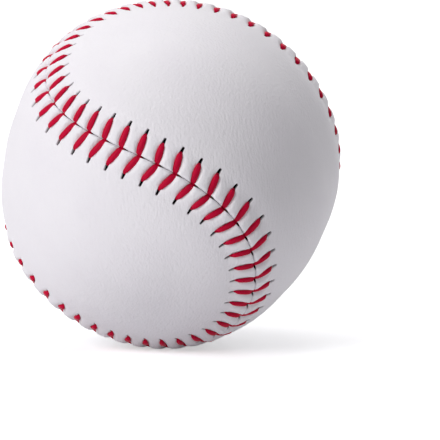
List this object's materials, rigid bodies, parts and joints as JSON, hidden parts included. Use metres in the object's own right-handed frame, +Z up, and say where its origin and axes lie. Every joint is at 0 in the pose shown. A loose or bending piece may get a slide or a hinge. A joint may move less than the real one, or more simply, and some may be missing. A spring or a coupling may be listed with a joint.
{
  "type": "softball",
  "caption": "Stitched leather softball: two figure-eight cover panels laced with two raised threads over a latex-dipped, yarn-wound cork and rubber core.",
  "frame": {"origin": "centre of the ball", "axes": "+Z up as the ball lies; -Y towards the side where one bend of the seam shows whole, as in the reference view"},
  "size_m": [0.098, 0.099, 0.0986],
  "materials": {
    "core_compound": "pressed cork granules in brown rubber, matt",
    "wool_yarn": "coarse grey wool yarn, tightly wound",
    "cotton_yarn": "fine unbleached cotton yarn, tightly wound",
    "latex": "thin dipped latex, satin",
    "cover_leather": "white pebbled leather, low sheen, drawn into small creases beside the stitches",
    "waxed_thread": "waxed multi-ply thread, crimson, satin"
  },
  "bodies": {
    "root": {"core": "core_compound", "inner_winding": "wool_yarn", "outer_winding": "cotton_yarn", "latex_coat": "latex", "cover_panel_a": "cover_leather", "cover_panel_b": "cover_leather", "first_needle_thread": "waxed_thread", "second_needle_thread": "waxed_thread"}
  },
  "joints": []
}
